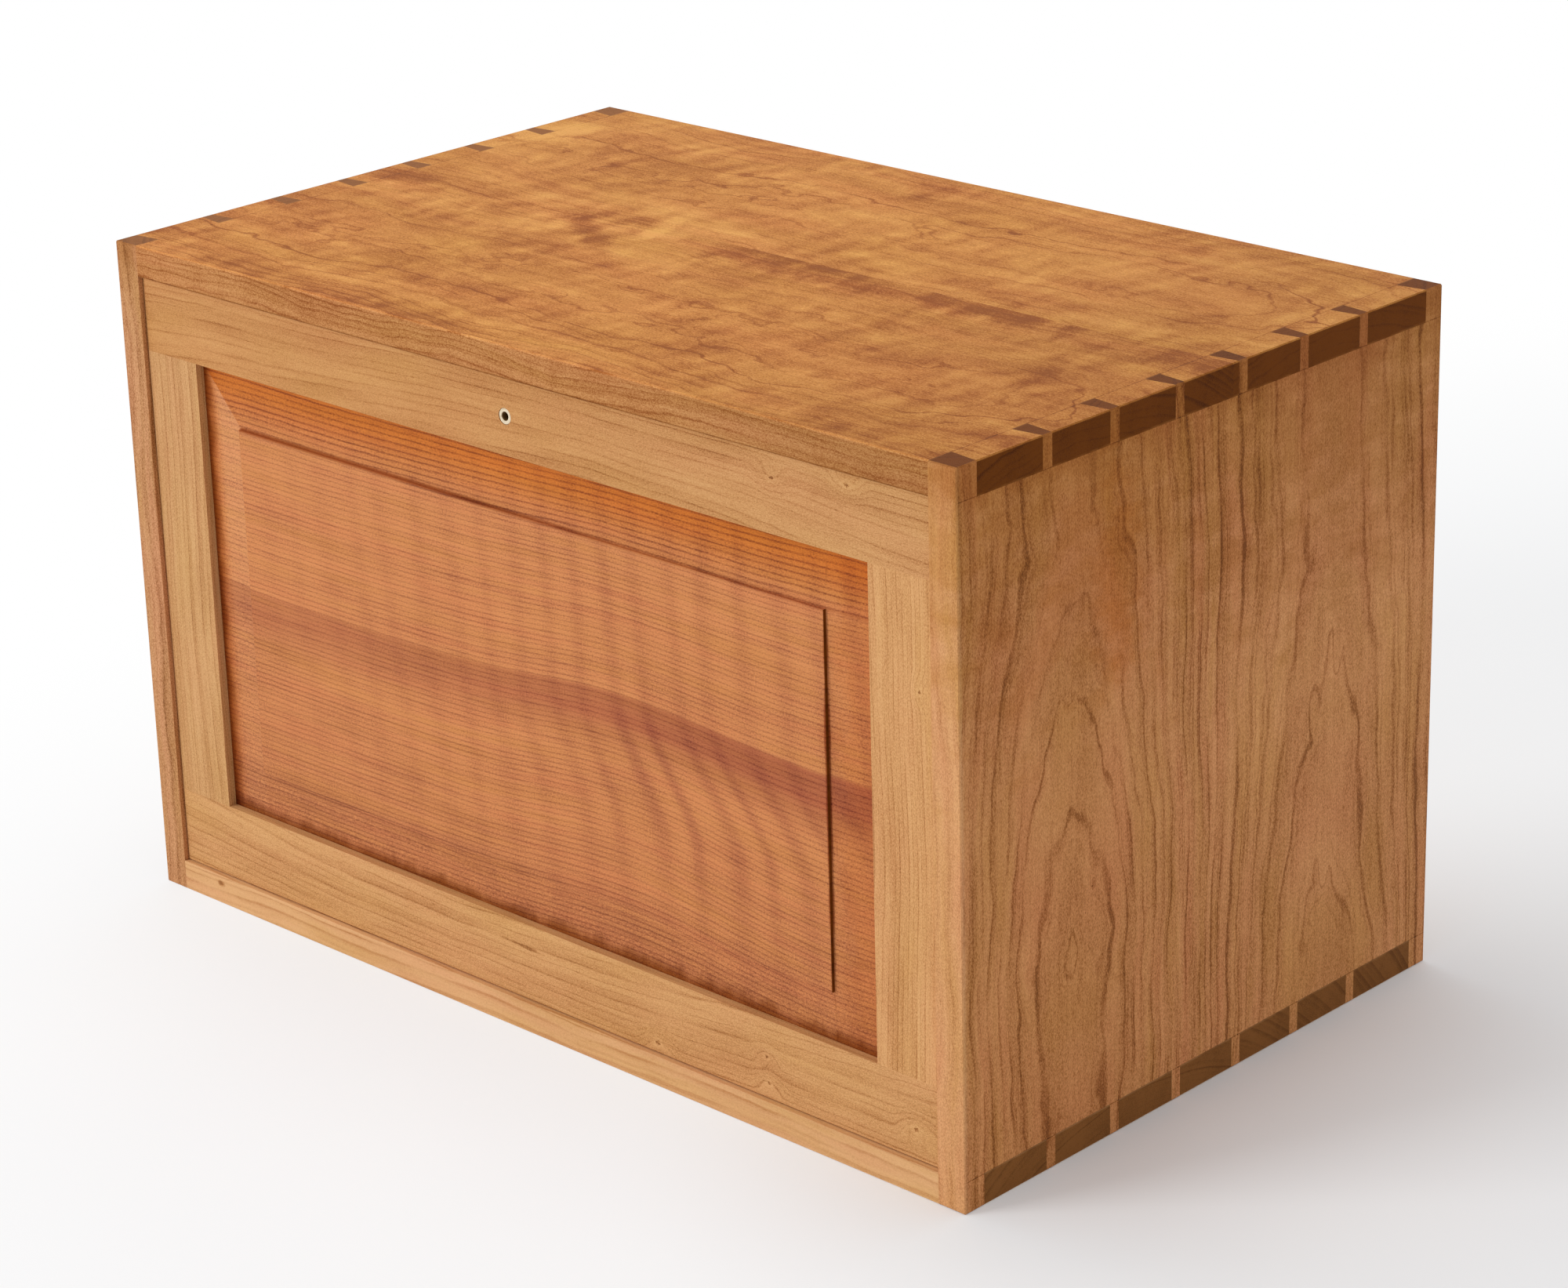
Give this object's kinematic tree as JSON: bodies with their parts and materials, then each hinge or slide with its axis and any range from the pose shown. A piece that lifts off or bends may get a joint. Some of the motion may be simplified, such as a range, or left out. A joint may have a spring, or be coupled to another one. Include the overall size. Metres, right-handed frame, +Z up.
{
  "type": "carpenters tool chest",
  "caption": "Dovetailed wooden tool chest with a lift-out raised-panel front that locks with a small round keyhole, over tiers of drawers.",
  "frame": {"origin": "centre of the base, on the surface that the chest stands on", "axes": "+X to the right across the front, +Y from the front to the back, +Z up"},
  "size_m": [0.61, 0.377, 0.382],
  "materials": {
    "case_wood": "thin satin oil varnish over straight and figured grain",
    "frame_wood": "thin satin oil varnish",
    "panel_wood": "thin satin oil varnish, redder heartwood",
    "back_wood": "thin satin oil varnish",
    "inner_wood": "waxed",
    "drawer_front_wood": "thin satin oil varnish",
    "drawer_wood": "waxed",
    "knob_wood": "polished",
    "ring": "pale close-grained wood, oiled",
    "brass": "brushed",
    "steel": "filed and oiled"
  },
  "bodies": {
    "case": {"back_panel": "back_wood", "back_rail_bottom": "back_wood", "back_rail_top": "back_wood", "back_stile_left": "back_wood", "back_stile_right": "back_wood", "bottom_rail": "inner_wood", "case_bottom": "case_wood", "case_side_left": "case_wood", "case_side_right": "case_wood", "case_top": "case_wood", "centre_guide": "inner_wood", "divider_muntin": "inner_wood", "divider_rail_lower": "inner_wood", "divider_rail_upper": "inner_wood", "drawer_stops": "inner_wood", "front_stop_strips": "inner_wood", "runner_centre": "inner_wood", "runners_left": "inner_wood", "runners_right": "inner_wood", "strike_plate": "brass", "strike_screws": "brass", "top_rail": "inner_wood"},
    "front": {"front_panel": "panel_wood", "front_rail_bottom": "frame_wood", "front_rail_top": "frame_wood", "front_stile_left": "frame_wood", "front_stile_right": "frame_wood", "locating_pegs": "inner_wood", "keyhole_ring": "ring", "lock_plate": "brass", "lock_cover": "brass", "lock_screws": "brass"},
    "lock_spindle": {"lock_spindle": "steel"},
    "lock_bolt": {"lock_bolt": "steel"},
    "left_drawer": {"left_drawer_back": "drawer_wood", "left_drawer_bottom": "drawer_wood", "left_drawer_front": "drawer_front_wood", "left_drawer_knob": "knob_wood", "left_drawer_side_left": "drawer_wood", "left_drawer_side_right": "drawer_wood"},
    "right_drawer": {"right_drawer_back": "drawer_wood", "right_drawer_bottom": "drawer_wood", "right_drawer_front": "drawer_front_wood", "right_drawer_knob": "knob_wood", "right_drawer_side_left": "drawer_wood", "right_drawer_side_right": "drawer_wood"},
    "middle_drawer": {"middle_drawer_back": "drawer_wood", "middle_drawer_bottom": "drawer_wood", "middle_drawer_front": "drawer_front_wood", "middle_drawer_knobs": "knob_wood", "middle_drawer_side_left": "drawer_wood", "middle_drawer_side_right": "drawer_wood"},
    "deep_drawer": {"deep_drawer_back": "drawer_wood", "deep_drawer_bottom": "drawer_wood", "deep_drawer_front": "drawer_front_wood", "deep_drawer_knobs": "knob_wood", "deep_drawer_side_left": "drawer_wood", "deep_drawer_side_right": "drawer_wood"}
  },
  "joints": [
    {"name": "front_out", "type": "slide", "parent": "case", "child": "front", "axis": [0, -1, 0], "range_m": [0, 0.45]},
    {"name": "spindle_turn", "type": "hinge", "parent": "front", "child": "lock_spindle", "pos_m": [0, -0.1665, 0.34315], "axis": [0, -1, 0], "range_deg": [0, 90]},
    {"name": "bolt_throw", "type": "slide", "parent": "front", "child": "lock_bolt", "axis": [0, 0, 1], "range_m": [0, 0.00566]},
    {"name": "left_drawer_slide", "type": "slide", "parent": "case", "child": "left_drawer", "axis": [0, -1, 0], "range_m": [0, 0.217]},
    {"name": "right_drawer_slide", "type": "slide", "parent": "case", "child": "right_drawer", "axis": [0, -1, 0], "range_m": [0, 0.217]},
    {"name": "middle_drawer_slide", "type": "slide", "parent": "case", "child": "middle_drawer", "axis": [0, -1, 0], "range_m": [0, 0.253]},
    {"name": "deep_drawer_slide", "type": "slide", "parent": "case", "child": "deep_drawer", "axis": [0, -1, 0], "range_m": [0, 0.289]}
  ],
  "couplings": [
    {"joint": "spindle_turn", "follows": "bolt_throw", "rad_per_m": 277.68},
    {"joint": "left_drawer_slide", "follows": "front_out", "ratio": 0.48},
    {"joint": "right_drawer_slide", "follows": "front_out", "ratio": 0.48},
    {"joint": "middle_drawer_slide", "follows": "front_out", "ratio": 0.56},
    {"joint": "deep_drawer_slide", "follows": "front_out", "ratio": 0.64}
  ]
}
